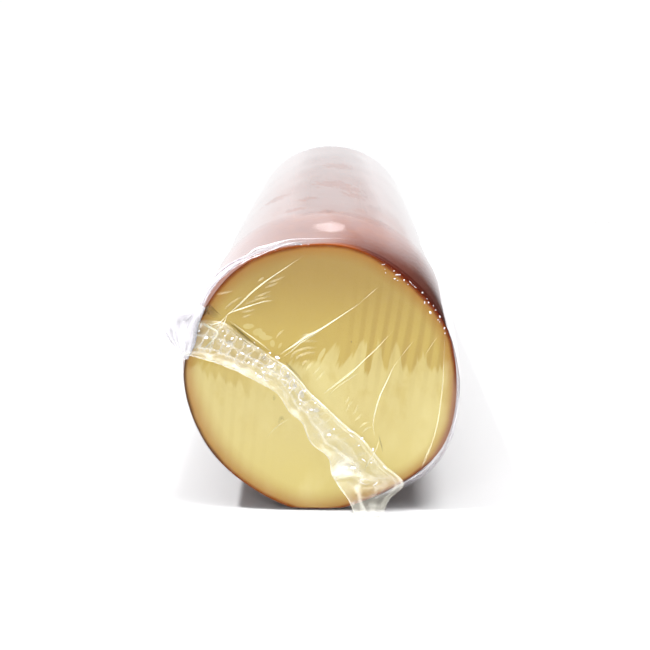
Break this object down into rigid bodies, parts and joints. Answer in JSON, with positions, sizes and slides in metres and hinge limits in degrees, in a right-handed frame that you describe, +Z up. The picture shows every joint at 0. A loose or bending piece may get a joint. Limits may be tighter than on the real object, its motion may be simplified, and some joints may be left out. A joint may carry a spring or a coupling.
{
  "type": "smoked cheese log",
  "caption": "Smoked gouda log with a brown rind and one pale cut face, sealed in a tight clear vacuum bag whose crimped seal is folded across the face.",
  "frame": {"origin": "middle of the log's flat rest line, on the surface it lies on", "axes": "+Y along the log from its cut face to its far end, +Z up, the cut face towards -Y"},
  "size_m": [0.1101, 0.3448, 0.1045],
  "materials": {
    "smoked_rind": "smoked brown cheese rind, smooth, under tight glossy clear film",
    "cut_cheese": "pale yellow cut cheese with faint knife bands, damp under the film",
    "clear_film": "thin clear heat-sealed vacuum film, glossy, creased and crimped"
  },
  "bodies": {
    "root": {"bagged_cheese_log": "smoked_rind"}
  },
  "joints": []
}
